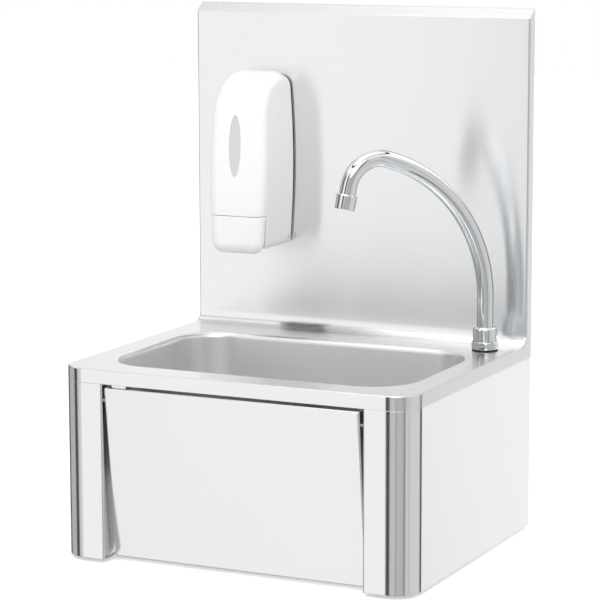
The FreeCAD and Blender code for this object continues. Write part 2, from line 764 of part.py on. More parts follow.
pipe_level = -valve_drop
bore = pipe_radius - 1
mixer_level = -158
mixer_front = -mixer_setback - 26
supply = bent_tube("supply_pipe",
                   [(-port + 10, port_y, pipe_level), (mixer_offset, port_y, pipe_level),
                    (mixer_offset, mixer_front - 60, pipe_level),
                    (mixer_offset, mixer_front - 30, pipe_level + 14),
                    (mixer_offset, mixer_front + 8, pipe_level + 14)],
                   pipe_radius, bore, 18)
outlet = bent_tube("outlet_pipe",
                   [(port - 10, port_y, pipe_level), (spout_right, port_y, pipe_level),
                    (spout_right, -spout_ahead, pipe_level),
                    (spout_right, -spout_ahead, -shank_length + 10)],
                   pipe_radius, bore, pipe_bend)


def pipe_nut(x, y, z, axis, angle):
    return place(hex_nut(new_body("pipe_nut", alone=False), 17, 9, pipe_radius), x, y, z, axis, angle)


group("pipe_nuts", [pipe_nut(-port, port_y, pipe_level, V(0, 1, 0), -90),
                    pipe_nut(port, port_y, pipe_level, V(0, 1, 0), 90),
                    pipe_nut(mixer_offset, mixer_front, mixer_level, V(1, 0, 0), 90),
                    pipe_nut(spout_right, -spout_ahead, -shank_length, V(1, 0, 0), 180)])

# ---------------------------------------------------------------------------------------------
# Mixing valve under the bowl, near the wall
# ---------------------------------------------------------------------------------------------
mixer_radius = 15
mixer_half = 40
mixer_back = 15.5
mixer = new_body("mixer_body")
disc(mixer, "YZ_Plane", 0, 0, mixer_radius, 2 * mixer_half, both=True)
for side in (-1, 1):
    disc(mixer, "XY_Plane", side * inlet_spacing / 2, 0, 13, 24, back=True)
    disc(mixer, "XY_Plane", side * inlet_spacing / 2, 0, inlet_radius, 42, back=True)
disc(mixer, "XZ_Plane", 0, 0, 9, 26)
pad(mixer, "XZ_Plane", box_points(-12, 12, -11, 11), mixer_back, back=True)
drill(mixer, "XY_Plane", [(side * inlet_spacing / 2, 0, 7.5) for side in (-1, 1)], 36, lift=-7, back=False)
drill(mixer, "XZ_Plane", [(0, 0, pipe_radius)], 12, lift=26, back=False)
drill(mixer, "YZ_Plane", [(0, 0, 5)], 10, lift=mixer_half, back=False)
place(mixer, mixer_offset, -mixer_setback, mixer_level)

group("non_return_valves", [
    ring("non_return_valve", 2.5, 7.45, 20, mixer_offset + side * inlet_spacing / 2,
         -mixer_setback, mixer_level - 30, alone=False) for side in (-1, 1)])

knob = new_body("mixer_knob")
turn(knob, [(0, 0.4), (13, 0.4), (13.5, 1), (12.5, 16), (11.5, 17), (0, 17)])
disc(knob, "XY_Plane", 0, 0, 4.95, 8, lift=0.4, back=True)
pad(knob, "XY_Plane", box_points(-1, 1, 9, 12), 0.8, lift=16.6)
drawing = new_sketch(knob, "XY_Plane", 4)
for step in range(12):
    turned = math.radians(30 * step + 15)
    draw_circle(drawing, 15 * math.cos(turned), 15 * math.sin(turned), 2.6)
feature(knob, "Pocket", drawing, 20, back=True)
place(knob, mixer_offset + mixer_half, -mixer_setback, mixer_level, V(0, 1, 0), 90)

hook = new_body("mixer_bracket")
hook_front = -mixer_setback + mixer_back
pad(hook, "YZ_Plane",
    [(hook_front - 24, -gauge), (hook_front + 1.5, -gauge, 3), (hook_front + 1.5, mixer_level - 14),
     (hook_front, mixer_level - 14), (hook_front, -gauge - 1.5, 1.5), (hook_front - 24, -gauge - 1.5)],
    28, lift=mixer_offset, both=True)

# ---------------------------------------------------------------------------------------------
# Spout.  Its bodies stand on the upright's axis, with their own X axis along the spout's reach.
# ---------------------------------------------------------------------------------------------
reach_x = -cosine(spout_turn)
reach_y = -sine(spout_turn)
gasket_height = 1
tube_bore = tube_radius - 1


def on_spout(item, lift=0.0):
    return place(item, spout_right, -spout_ahead, lift, V(0, 0, 1), 180 + spout_turn)


on_spout(ring("base_gasket", shank_radius + 0.05, base_radius - 0.6, gasket_height))

base = new_body("spout_base")
low, high = gasket_height, gasket_height + base_height
turn(base, [(pipe_radius, -shank_length), (shank_radius - 0.5, -shank_length),
            (shank_radius, -shank_length + 0.5), (shank_radius, low), (base_radius, low, 3),
            (base_radius, high, 3), (tube_radius + 2.1, high), (tube_radius + 2.1, high - 7),
            (pipe_radius, high - 7)])
drawing = new_sketch(base, "XY_Plane", low - 0.5)
flats = []
for step in range(8):
    turned = math.radians(45 * step + 22.5)
    reach = (base_radius - 0.75) / cosine(22.5)
    flats.append((reach * math.cos(turned), reach * math.sin(turned)))
draw_outline(drawing, flats)
draw_circle(drawing, 0, 0, base_radius + 5)
feature(base, "Pocket", drawing, base_height + 1, back=True)
on_spout(base)

cap = new_body("swivel_nut")
turn(cap, [(tube_radius + seat, 0), (cap_radius, 0), (cap_radius, cap_height, 3.6),
           (tube_radius + seat, cap_height)])
on_spout(cap, high)

on_spout(ring("shank_washer", shank_radius + 0.1, 16, 1.5), -gauge - 1.5)
on_spout(hex_nut(new_body("shank_nut"), 27, 6, shank_radius), -gauge - 7.5)

tube = new_body("spout_tube")
way = new_sketch(tube, "XZ_Plane")
crest = sweep_angle
x1, z1 = sweep_radius * (1 - cosine(crest)), upright_height + sweep_radius * sine(crest)
x2, z2 = x1 + crown_run * sine(crest), z1 + crown_run * cosine(crest)
full = sweep_angle + crook_angle
cx, cz = x2 + crook_radius * cosine(crest), z2 - crook_radius * sine(crest)
x3, z3 = cx - crook_radius * cosine(full), cz + crook_radius * sine(full)
x4, z4 = x3 + nose_run * sine(full), z3 + nose_run * cosine(full)
tube_end = nose_run - 3
xe, ze = x3 + tube_end * sine(full), z3 + tube_end * cosine(full)
foot_z = high - 6.5
run1 = way.addGeometry(Part.LineSegment(spot((0, foot_z)), spot((0, upright_height))), False)
big = Part.Circle(V(float(sweep_radius), float(upright_height), 0), V(0, 0, 1), float(sweep_radius))
arc1 = way.addGeometry(Part.ArcOfCircle(big, math.pi - math.radians(float(crest)), math.pi), False)
run2 = way.addGeometry(Part.LineSegment(spot((x1, z1)), spot((x2, z2))), False)
small = Part.Circle(V(float(cx), float(cz), 0), V(0, 0, 1), float(crook_radius))
arc2 = way.addGeometry(Part.ArcOfCircle(small, math.pi - math.radians(float(full)),
                                        math.pi - math.radians(float(crest))), False)
run3 = way.addGeometry(Part.LineSegment(spot((x3, z3)), spot((xe, ze))), False)
for one, end, other, start in ((run1, 2, arc1, 2), (arc1, 1, run2, 1), (run2, 2, arc2, 2),
                               (arc2, 1, run3, 1)):
    way.addConstraint(Sketcher.Constraint("Coincident", one, end, other, start))
pin_point(way, run1, 1, 0, foot_z)
pin_point(way, run1, 2, 0, upright_height)
pin_point(way, run2, 1, x1, z1)
pin_point(way, run2, 2, x2, z2)
pin_point(way, run3, 1, x3, z3)
pin_point(way, run3, 2, xe, ze)
for bend, radius in ((arc1, sweep_radius), (arc2, crook_radius)):
    held = way.addConstraint(Sketcher.Constraint("Radius", bend, float(radius)))
    way.setExpression("Constraints[%d]" % held, radius.formula)
mouth = new_sketch(tube, "XY_Plane", foot_z)
draw_circle(mouth, 0, 0, tube_radius)
draw_circle(mouth, 0, 0, tube_bore)
sweep = tube.newObject("PartDesign::AdditivePipe", "spout_sweep")
sweep.Profile = mouth
sweep.Spine = (way, [])
doc.recompute()
on_spout(tube)

group("spout_seals", [
    on_spout(ring("spout_seal", tube_radius, tube_radius + 2.05, 1.8, alone=False), high - where)
    for where in (3.0, 5.6)])


def on_nose(item, back):
    """Stand a piece on the spout's nose, its own Z axis pointing out of the mouth."""
    x = x4 - back * sine(full)
    z = z4 - back * cosine(full)
    return place(item, spout_right + x * reach_x, -spout_ahead + x * reach_y, z,
                 V(-float(reach_y), float(reach_x), 0), full)


tip = new_body("outlet_nozzle")
turn(tip, [(tube_radius, 0), (nozzle_radius - 0.8, 0), (nozzle_radius, 1.2),
           (nozzle_radius - 0.6, nozzle_length - 0.6), (nozzle_radius - 1.2, nozzle_length),
           (tube_radius + 0.2, nozzle_length), (tube_radius + 0.2, nozzle_length - 3),
           (tube_radius, nozzle_length - 3)])
on_nose(tip, nozzle_length)
aerator = new_body("aerator")
turn(aerator, [(0, -2.6), (tube_radius + 0.2, -2.6), (tube_radius + 0.2, -0.6), (0, -0.6)])
drawing = new_sketch(aerator, "XY_Plane", -3)
for count, reach in ((6, 2.8), (12, 6.0)):
    for step in range(count):
        turned = 2 * math.pi * step / count
        draw_circle(drawing, reach * math.cos(turned), reach * math.sin(turned), 0.9)
feature(aerator, "Pocket", drawing, 3, back=True)
on_nose(aerator, 0)

# ---------------------------------------------------------------------------------------------
# Waste
# ---------------------------------------------------------------------------------------------
tray_level = -bowl_depth
half_flange = strainer_width / 2
strainer = new_body("waste_strainer")
turn(strainer, [(0, 0), (half_flange, 0), (half_flange, 0.6), (half_flange - 1, 1.6),
                (half_flange - 8, 1.6), (half_flange - 10, 1.2), (0, 1.2)])
drawing = new_sketch(strainer, "XY_Plane", -1)
draw_circle(drawing, 0, 0, 3.1)
for count, reach in ((8, 11.0), (14, 19.5)):
    for step in range(count):
        turned = 2 * math.pi * step / count
        draw_circle(drawing, reach * math.cos(turned), reach * math.sin(turned), 2.6)
feature(strainer, "Pocket", drawing, 4, back=True)
place(strainer, 0, bowl_middle, tray_level)
ring("waste_seal", waste_bore / 2 + 0.5, half_flange - 2, 2, 0, bowl_middle, tray_level - gauge - 2)
waste = new_body("waste_body")
tail = waste_tail / 2
turn(waste, [(waste_bore / 2 - 3, 0), (half_flange - 1, 0), (half_flange - 1, -3),
             (waste_bore / 2 + 1, -3), (waste_bore / 2 + 1, -10), (tail, -22),
             (tail, -51), (tail - 2.5, -51), (tail - 2.5, -21), (waste_bore / 2 - 3, -9)])
pad(waste, "XY_Plane", box_points(-waste_bore / 2 + 1, waste_bore / 2 - 1, -4, 4), 6, lift=-9)
drill(waste, "XY_Plane", [(0, 0, 3)], 20, lift=-6, both=True)
place(waste, 0, bowl_middle, tray_level - gauge - 2)
screw = new_body("strainer_screw")
turn(screw, [(0, 1.2), (5, 1.2), (5, 1.8), (3.6, 2.6), (0, 2.6)])
disc(screw, "XY_Plane", 0, 0, 3, 15, lift=1.2, back=True)
pocket(screw, "XY_Plane", box_points(-6, 6, -0.5, 0.5), 1, lift=1.8, back=True)
place(screw, 0, bowl_middle, tray_level)

# ---------------------------------------------------------------------------------------------
# Soap dispenser.  Its bodies stand on the splash: their own Z axis is the cover's middle line,
# Z = 0 is the cover's lower edge and Y = 0 the face of the splash.
# ---------------------------------------------------------------------------------------------
def on_splash(item):
    return place(item, soap_offset, splash_face, soap_foot)


crown = size("crown", 54, "rounding of the dispenser's top front in side view")
crest_setback = size("crest_setback", 18, "splash to the crest of the cover's top")
rear_drop = size("rear_drop", 6, "how far the top falls from its crest to the splash")
barrel_radius = 900
barrel_rise = 1.7
cover_back = -plate_gauge - 0.5


def front_at(rise):
    """How far the cover's front stands from the splash at a height above its foot."""
    return soap_reach - soap_lean * rise / soap_height


def cover_block(body, inset, past):
    """Barrel-shaped sides, front leaning back, domed top, rounded rim; inset is the skin that
    a hollow leaves, and past is how far a hollow runs out of the back."""
    narrow = soap_half_width - soap_taper - inset
    bulge = soap_half_width + barrel_rise - inset
    foot, top, middle = inset, soap_height - inset, soap_height / 2
    drawing = new_sketch(body, "XZ_Plane", -cover_back - past)
    draw_outline(drawing, [
        (-narrow, foot, soap_foot_round - inset), (narrow, foot, soap_foot_round - inset),
        (bulge, middle, barrel_radius), (narrow, top), (-narrow, top),
        (-bulge, middle, barrel_radius)])
    feature(body, "Pad", drawing, soap_reach - inset + cover_back + past)
    shaped_off = pocket(
        body, "YZ_Plane",
        [(inset - front_at(-5), -5), (inset - front_at(top), top, crown - inset),
         (-crest_setback, top, 22), (5, top - rear_drop * (crest_setback + 5) / crest_setback),
         (5, top + 5), (-soap_reach - 5, top + 5), (-soap_reach - 5, -5)],
        3 * soap_half_width, both=True)
    rear = 0.01 - float(-cover_back - past)

    def on_rim(edge):
        """Edges round the front and along the top; the back and the foot's edges stay sharp."""
        box = edge.BoundBox
        at_back = box.YMin > rear - 0.1
        along_foot = box.ZMax < float(foot) + float(soap_foot_round) + 0.1 and box.YLength > 5
        across = box.XMin * box.XMax < 0 and box.ZMax > float(soap_foot_round)
        return not (at_back or along_foot or across)

    return soften(body, shaped_off, soap_corner - inset, on_rim)


def cover_shell(label):
    """The dispenser's skin, open at the back."""
    body = new_body(label)
    cover_block(body, 0.0, 0.0)
    hollow = new_body(label + "_hollow", alone=False)
    cover_block(hollow, soap_wall, 2.0)
    skin = body.newObject("PartDesign::Boolean", label + "_skin")
    skin.Type = "Cut"
    skin.setObjects([hollow])
    doc.recompute()
    return body


seam_top = bar_height + 0.6
bar_back = -soap_reach + soap_corner + 3.5
cover = cover_shell("dispenser_cover")
pocket(cover, "YZ_Plane",
       [(bar_back + 0.6, seam_top), (bar_back + 5, -4), (-soap_reach - 4, -4),
        (-soap_reach - 4, seam_top)],
       2 * soap_half_width + 10, both=True)
pin_y, pin_z = bar_back - 3.5, bar_height - 4
for side in (-1, 1):
    pad(cover, "YZ_Plane", box_points(pin_y - 2.5, pin_y + 5, pin_z - 4, bar_height + 7),
        2.4, lift=side * (soap_half_width - 7.2), both=True)
    pad(cover, "YZ_Plane", box_points(pin_y - 2.5, pin_y + 5, seam_top + 0.3, bar_height + 7),
        5.2, lift=side * (soap_half_width - 5.8), both=True)
drill(cover, "YZ_Plane", [(pin_y, pin_z, 1.5 + running)], 2 * (soap_half_width - 3), both=True)


lean_angle = math.degrees(math.atan(float(soap_lean) / float(soap_height)))


def oval(body, set_back, grow=0.0):
    """The level window's outline on a plane parallel to the leaning front."""
    drawing = new_sketch(body, "XZ_Plane", soap_reach - set_back)
    drawing.AttachmentOffset = FreeCAD.Placement(drawing.AttachmentOffset.Base,
                                                 FreeCAD.Rotation(V(1, 0, 0), -lean_angle))
    wide, tall = window_width / 2 + grow, window_height / 2 + grow
    ends = (window_rise + tall, window_rise - tall)
    edge = drawing.addGeometry(Part.Ellipse(spot((0, ends[0])), spot((wide, window_rise)),
                                            spot((0, window_rise))), False)
    drawing.exposeInternalGeometry(edge)
    long_axis, short_axis = edge + 1, edge + 2
    for end, height in zip((1, 2), ends):
        pin_point(drawing, long_axis, end, 0, height)
    held = drawing.addConstraint(
        Sketcher.Constraint("DistanceX", -1, 1, short_axis, 2, float(wide)))
    bind(drawing, "Constraints[%d]" % held, wide)
    return drawing


feature(cover, "Pocket", oval(cover, 2.8), 8, back=True)
hinge_y, hinge_z = -9, 12
cheek = soap_half_width - soap_taper - 3.6
for side in (-1, 1):
    disc(cover, "YZ_Plane", hinge_y, hinge_z, 4.4, 3.9, lift=side * cheek, both=True)
drill(cover, "YZ_Plane", [(hinge_y, hinge_z, 2 + running)], 2 * soap_half_width, both=True)
pocket(cover, "XY_Plane", box_points(3 - cheek - 4.2, cheek + 1.2, bar_back + 4, 6), 8, lift=-1, back=True)
on_splash(cover)

window = new_body("dispenser_window")
feature(window, "Pad", oval(window, 0.5, -0.15), 2.6, back=True)
feature(window, "Pad", oval(window, soap_wall + 0.9, 1.8), 1.2, back=True)
on_splash(window)

bar = cover_shell("push_bar")
pocket(bar, "XY_Plane", box_points(-60, 60, -120, 20), 200, lift=bar_height, back=True)
pocket(bar, "YZ_Plane",
       [(bar_back, bar_height + 1), (bar_back - 1, -1), (6, -1), (6, bar_height + 1)],
       2 * soap_half_width + 10, both=True)
drill(bar, "YZ_Plane", [(pin_y, pin_z, 1.5)], 2 * (soap_half_width - 3), both=True)
on_splash(bar)
group("bar_pins", [
    rod("bar_pin", 1.5, 5, soap_offset + start, splash_face + pin_y, soap_foot + pin_z,
        V(0, 1, 0), 90) for start in (3.1 - soap_half_width, soap_half_width - 8.1)])

plate = new_body("dispenser_back_plate")
plate_half = 25.5
pad(plate, "XZ_Plane", box_points(-plate_half, plate_half, 3, 178, 6), plate_gauge)
for side in (-1, 1):
    pad(plate, "XZ_Plane", box_points(side * 20.5, side * 23.5, hinge_z - 5, hinge_z + 7), 14)
    pad(plate, "XZ_Plane", box_points(side * 17, side * 20, 75, 165), 6)
drill(plate, "YZ_Plane", [(hinge_y, hinge_z, 2 + running)], 120, both=True)
drill(plate, "XZ_Plane", [(0, 60, 2.1), (0, 150, 2.1)], 40, both=True)
on_splash(plate)


def plate_screw(rise):
    body = new_body("dispenser_screw", alone=False)
    turn(body, [(0, -7), (2, -7), (2, 0), (3.8, 0), (3.8, 1.2), (2.6, 2.2), (0, 2.2)])
    return place(body, soap_offset, splash_face - plate_gauge, soap_foot + rise, OUT, 90)


group("dispenser_screws", [plate_screw(60), plate_screw(150)])
group("cover_hinge_pins", [
    rod("cover_hinge_pin", 2, 9.7, soap_offset + start, splash_face + hinge_y, soap_foot + hinge_z,
        V(0, 1, 0), 90) for start in (-28, 18.3)])

bottle = new_body("soap_bottle")
pad(bottle, "XY_Plane", box_points(-25, 25, -62, -6, 8), 100, lift=72)
disc(bottle, "XY_Plane", 0, -36, 10, 8, lift=64)
on_splash(bottle)
pump_level = 15
pump_front = 48
pump = new_body("pump_body")
disc(pump, "XZ_Plane", 0, pump_level, 9, 22, lift=pump_front - 22)
disc(pump, "XY_Plane", 0, -36, 8, 64 - pump_level, lift=pump_level)
disc(pump, "XY_Plane", 0, -36, 4, 12, lift=pump_level - 12)
drill(pump, "XZ_Plane", [(0, pump_level, 5.05)], 14, lift=pump_front)
on_splash(pump)
piston = new_body("pump_plunger")
piston_end = front_at(pump_level + 5) - soap_wall - 0.6
disc(piston, "XZ_Plane", 0, pump_level, 5, piston_end - pump_front + 8, lift=pump_front - 8)
on_splash(piston)

# ---------------------------------------------------------------------------------------------
# Check every object and write one file per piece
# ---------------------------------------------------------------------------------------------
doc.recompute()
for item in doc.Objects:
    if "Invalid" in item.State or "Error" in item.State:
        raise RuntimeError("%s did not compute: %s" % (item.Label, item.State))
os.makedirs("parts", exist_ok=True)
for item in pieces:
    if item.Shape.isNull() or not item.Shape.isValid() or not item.Shape.Solids:
        raise RuntimeError("%s has no valid solid" % item.Label)
    item.Shape.exportStep("parts/%s.step" % item.Label)
print("%d pieces written" % len(pieces))
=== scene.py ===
"""Looks for a wall-hung stainless hand wash sink with a knee panel and a soap dispenser.

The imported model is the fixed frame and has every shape.  This script gives each piece the finish
of its real material, and sets up floor, light and camera.
"""

import math

import bmesh
import bpy
from bpy.props import FloatProperty, FloatVectorProperty, PointerProperty, StringProperty
from mathutils import Matrix, Vector


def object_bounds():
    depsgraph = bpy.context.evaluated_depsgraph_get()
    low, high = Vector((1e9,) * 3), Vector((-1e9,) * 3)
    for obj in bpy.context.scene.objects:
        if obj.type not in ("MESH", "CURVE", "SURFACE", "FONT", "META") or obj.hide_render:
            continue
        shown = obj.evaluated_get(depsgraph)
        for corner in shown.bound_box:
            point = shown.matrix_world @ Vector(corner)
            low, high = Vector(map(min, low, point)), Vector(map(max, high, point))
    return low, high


bl_info = {
    "name": "Hand Wash Sink Finisher",
    "version": (1, 0, 0),
    "blender": (4, 5, 0),
    "location": "3D View > Sidebar > Sink",
    "description": "Finishes and studio for a knee-operated hand wash sink",
    "category": "Object",
}

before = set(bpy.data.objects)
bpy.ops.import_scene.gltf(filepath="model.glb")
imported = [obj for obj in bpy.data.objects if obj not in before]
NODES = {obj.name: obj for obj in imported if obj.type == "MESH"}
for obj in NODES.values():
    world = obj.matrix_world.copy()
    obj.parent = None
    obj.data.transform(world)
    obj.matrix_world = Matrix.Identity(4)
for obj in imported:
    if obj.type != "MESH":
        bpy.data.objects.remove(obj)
CAD_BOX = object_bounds()
MM = 0.001


# ---------------------------------------------------------------------------------------------
# Colours and nodes
# ---------------------------------------------------------------------------------------------
def linear(text):
    """sRGB hex to the linear colour that the shaders take."""
    channels = []
    for start in (1, 3, 5):
        value = int(text[start:start + 2], 16) / 255.0
        channels.append(value / 12.92 if value <= 0.04045 else ((value + 0.055) / 1.055) ** 2.4)
    return (*channels, 1.0)


def add(tree, kind, settings=None, stops=(), **links):
    """Add a node.  settings are attributes or socket values, and stops are a colour ramp's
    (position, sRGB hex or linear grey).  links are socket=(node, output), where _0 stands for
    socket 0 and an underscore in a name for its space."""
    node = tree.nodes.new(kind)
    for name, value in (settings or {}).items():
        if name in node.inputs:
            node.inputs[name].default_value = value
        else:
            setattr(node, name, value)
    if stops:
        elements = node.color_ramp.elements
        while len(elements) < len(stops):
            elements.new(0.5)
        for element, (position, tone) in zip(elements, stops):
            element.position = position
            element.color = linear(tone) if isinstance(tone, str) else (tone, tone, tone, 1)
    for name, (source, output) in links.items():
        key = int(name[1:]) if name[0] == "_" and name[1:].isdigit() else name.replace("_", " ")
        tree.links.new(source.outputs[output], node.inputs[key])
    return node


def new_material(name):
    """An empty node material and its tree."""
    material = bpy.data.materials.new(name)
    material.use_nodes = True
    material.node_tree.nodes.clear()
    return material, material.node_tree


# ---------------------------------------------------------------------------------------------
# Materials, each from what the real one is and how its surface was made
# ---------------------------------------------------------------------------------------------
# brushing: real strokes are about 0.1 mm wide; they are drawn 1 mm wide so that they show
STROKE_WIDTH = 1.0 * MM
STROKES_PER_METRE = 2.2
STROKE_DEPTH = 0.002 * MM
# tool marks are 0.25 mm apart; they are drawn about three times as coarse so that they show
TOOL_MARK = 0.25 * MM / 0.3
# slow changes over a surface, as the number of patches to the metre
SHEET_PATCHES = 7.0        # 140 mm, from rolling
CHROME_PATCHES = 60.0      # 17 mm, from buffing
PLATE_PATCHES = 40.0       # 25 mm, from the plating bath
PLASTIC_PATCHES = 18.0     # 55 mm, from the flow into the tool
BOTTLE_PATCHES = 30.0      # 33 mm, from uneven blowing
BLOOM_PATCHES = 250.0      # 4 mm, from talc
# how round an edge catches the light, and the rays spent on it
SHEET_EDGE = 0.9 * MM
CHROME_EDGE = 0.35 * MM
PLASTIC_EDGE = 0.5 * MM
EDGE_RAYS = 6


def brushed_stainless(name, colour, rough, along="X", across=(0, 0.7, 0.7), drawn_out=0.9):
    """Stainless sheet with a fine brushed finish: dull, even reflections drawn out across the
    strokes, with a few faint longer ones.  along is the axis that the strokes follow, across is
    the direction in which they blur a reflection, and drawn_out is how much."""
    material, tree = new_material(name)
    place = add(tree, "ShaderNodeTexCoord")
    scale = [STROKES_PER_METRE if axis == along else 1 / STROKE_WIDTH for axis in "XYZ"]
    drawn = add(tree, "ShaderNodeMapping", {"Scale": scale}, Vector=(place, "Object"))
    strokes = add(tree, "ShaderNodeTexNoise", {"Scale": 1.0, "Detail": 3.0, "Roughness": 0.6},
                  Vector=(drawn, "Vector"))
    cloud = add(tree, "ShaderNodeTexNoise", {"Scale": SHEET_PATCHES, "Detail": 2.0},
                Vector=(place, "Object"))
    sheen = add(tree, "ShaderNodeMapRange", {"To Min": rough - 0.02, "To Max": rough + 0.02},
                Value=(strokes, "Fac"))
    patch = add(tree, "ShaderNodeMapRange", {"To Min": -0.015, "To Max": 0.015},
                Value=(cloud, "Fac"))
    both = add(tree, "ShaderNodeMath", {"operation": "ADD"},
               _0=(sheen, "Result"), _1=(patch, "Result"))
    soft = add(tree, "ShaderNodeBevel", {"samples": EDGE_RAYS, "Radius": SHEET_EDGE})
    bump = add(tree, "ShaderNodeBump", {"Strength": 0.35, "Distance": STROKE_DEPTH},
               Height=(strokes, "Fac"), Normal=(soft, "Normal"))
    combed = add(tree, "ShaderNodeCombineXYZ", dict(zip("XYZ", across)))
    shade = add(tree, "ShaderNodeBsdfPrincipled",
                {"Base Color": linear(colour), "Metallic": 1.0, "Anisotropic": drawn_out},
                Roughness=(both, "Value"), Normal=(bump, "Normal"), Tangent=(combed, "Vector"))
    add(tree, "ShaderNodeOutputMaterial", Surface=(shade, "BSDF"))
    return material


def polished_chrome(name, colour, rough):
    """Decorative chrome on brass tube: a near mirror with the faintest haze."""
    material, tree = new_material(name)
    place = add(tree, "ShaderNodeTexCoord")
    haze = add(tree, "ShaderNodeTexNoise", {"Scale": CHROME_PATCHES, "Detail": 3.0},
               Vector=(place, "Object"))
    sheen = add(tree, "ShaderNodeMapRange", {"To Min": rough * 0.6, "To Max": rough * 1.5},
                Value=(haze, "Fac"))
    soft = add(tree, "ShaderNodeBevel", {"samples": EDGE_RAYS, "Radius": CHROME_EDGE})
    shade = add(tree, "ShaderNodeBsdfPrincipled",
                {"Base Color": linear(colour), "Metallic": 1.0},
                Roughness=(sheen, "Result"), Normal=(soft, "Normal"))
    add(tree, "ShaderNodeOutputMaterial", Surface=(shade, "BSDF"))
    return material


def turned_metal(name, colours, rough):
    """Turned or plated fitting: fine tool marks and a slightly uneven plate."""
    material, tree = new_material(name)
    place = add(tree, "ShaderNodeTexCoord")
    grain = add(tree, "ShaderNodeTexNoise", {"Scale": 1 / TOOL_MARK, "Detail": 4.0},
                Vector=(place, "Object"))
    cloud = add(tree, "ShaderNodeTexNoise", {"Scale": PLATE_PATCHES, "Detail": 2.0},
                Vector=(place, "Object"))
    tone = add(tree, "ShaderNodeValToRGB", stops=((0.3, colours[0]), (0.7, colours[1])),
               Fac=(cloud, "Fac"))
    sheen = add(tree, "ShaderNodeMapRange", {"To Min": rough - 0.07, "To Max": rough + 0.09},
                Value=(grain, "Fac"))
    bump = add(tree, "ShaderNodeBump", {"Strength": 0.15, "Distance": 0.02 * MM},
               Height=(grain, "Fac"))
    shade = add(tree, "ShaderNodeBsdfPrincipled", {"Metallic": 1.0},
                Base_Color=(tone, "Color"), Roughness=(sheen, "Result"), Normal=(bump, "Normal"))
    add(tree, "ShaderNodeOutputMaterial", Surface=(shade, "BSDF"))
    return material


def moulded_plastic(name, colours, rough, grain=0.4, depth=0.01, coat=0.0):
    """Injection-moulded plastic: even colour, a soft gloss and the tool's very fine grain.
    grain and depth are its size in millimetres, and coat adds a clear wet look."""
    material, tree = new_material(name)
    place = add(tree, "ShaderNodeTexCoord")
    cloud = add(tree, "ShaderNodeTexNoise", {"Scale": PLASTIC_PATCHES, "Detail": 2.0},
                Vector=(place, "Object"))
    pores = add(tree, "ShaderNodeTexNoise", {"Scale": 1.0 / (grain * MM), "Detail": 2.0},
                Vector=(place, "Object"))
    tone = add(tree, "ShaderNodeValToRGB", stops=((0.35, colours[0]), (0.65, colours[1])),
               Fac=(cloud, "Fac"))
    sheen = add(tree, "ShaderNodeMapRange", {"To Min": rough - 0.03, "To Max": rough + 0.04},
                Value=(pores, "Fac"))
    soft = add(tree, "ShaderNodeBevel", {"samples": EDGE_RAYS, "Radius": PLASTIC_EDGE})
    bump = add(tree, "ShaderNodeBump", {"Strength": 0.3, "Distance": depth * MM},
               Height=(pores, "Fac"), Normal=(soft, "Normal"))
    shade = add(tree, "ShaderNodeBsdfPrincipled", {"IOR": 1.5, "Coat Weight": coat},
                Base_Color=(tone, "Color"), Roughness=(sheen, "Result"), Normal=(bump, "Normal"))
    add(tree, "ShaderNodeOutputMaterial", Surface=(shade, "BSDF"))
    return material


def clear_plastic(name, colour, rough, weight):
    """Clear or milky blow-moulded plastic; the share weight of the light comes through it,
    softened."""
    material, tree = new_material(name)
    place = add(tree, "ShaderNodeTexCoord")
    flow = add(tree, "ShaderNodeTexNoise", {"Scale": BOTTLE_PATCHES, "Detail": 2.0},
               Vector=(place, "Object"))
    sheen = add(tree, "ShaderNodeMapRange", {"To Min": rough - 0.03, "To Max": rough + 0.05},
                Value=(flow, "Fac"))
    bump = add(tree, "ShaderNodeBump", {"Strength": 0.1, "Distance": 0.05 * MM},
               Height=(flow, "Fac"))
    shade = add(tree, "ShaderNodeBsdfPrincipled",
                {"Base Color": linear(colour), "IOR": 1.49, "Transmission Weight": weight},
                Roughness=(sheen, "Result"), Normal=(bump, "Normal"))
    add(tree, "ShaderNodeOutputMaterial", Surface=(shade, "BSDF"))
    return material


def moulded_rubber(name, colours):
    """Nitrile rubber: almost black, matt, with a talc-like bloom."""
    material, tree = new_material(name)
    place = add(tree, "ShaderNodeTexCoord")
    bloom = add(tree, "ShaderNodeTexNoise", {"Scale": BLOOM_PATCHES, "Detail": 5.0},
                Vector=(place, "Object"))
    tone = add(tree, "ShaderNodeValToRGB", stops=((0.4, colours[0]), (0.75, colours[1])),
               Fac=(bloom, "Fac"))
    bump = add(tree, "ShaderNodeBump", {"Strength": 0.2, "Distance": 0.05 * MM},
               Height=(bloom, "Fac"))
    shade = add(tree, "ShaderNodeBsdfPrincipled", {"Roughness": 0.72, "IOR": 1.52},
                Base_Color=(tone, "Color"), Normal=(bump, "Normal"))
    add(tree, "ShaderNodeOutputMaterial", Surface=(shade, "BSDF"))
    return material


def dress(names, material):
    """Give a finish to nodes without touching their shape."""
    for name in names:
        slots = NODES[name].data.materials
        slots.clear()
        slots.append(material)


# ---------------------------------------------------------------------------------------------
# What a user would change
# ---------------------------------------------------------------------------------------------
class SheetFinish(bpy.types.PropertyGroup):
    """Colours and brushing of the sheet metal"""
    deck_colour: StringProperty(name="Sheet colour", default="#ECEDEE",
                                description="Colour of the brushed stainless sheet, sRGB hex")
    # the bowl's colour is the steel's own, set a little lighter than the sheet's as painted light
    # for the shade inside the bowl
    bowl_colour_with_painted_light: StringProperty(name="Bowl colour", default="#F0F1F1",
                                description="Colour of the pressed bowl, sRGB hex")
    roughness: FloatProperty(name="Brushing", default=0.22, min=0.05, max=0.8, subtype="FACTOR",
                             description="Roughness of the brushed sheet")


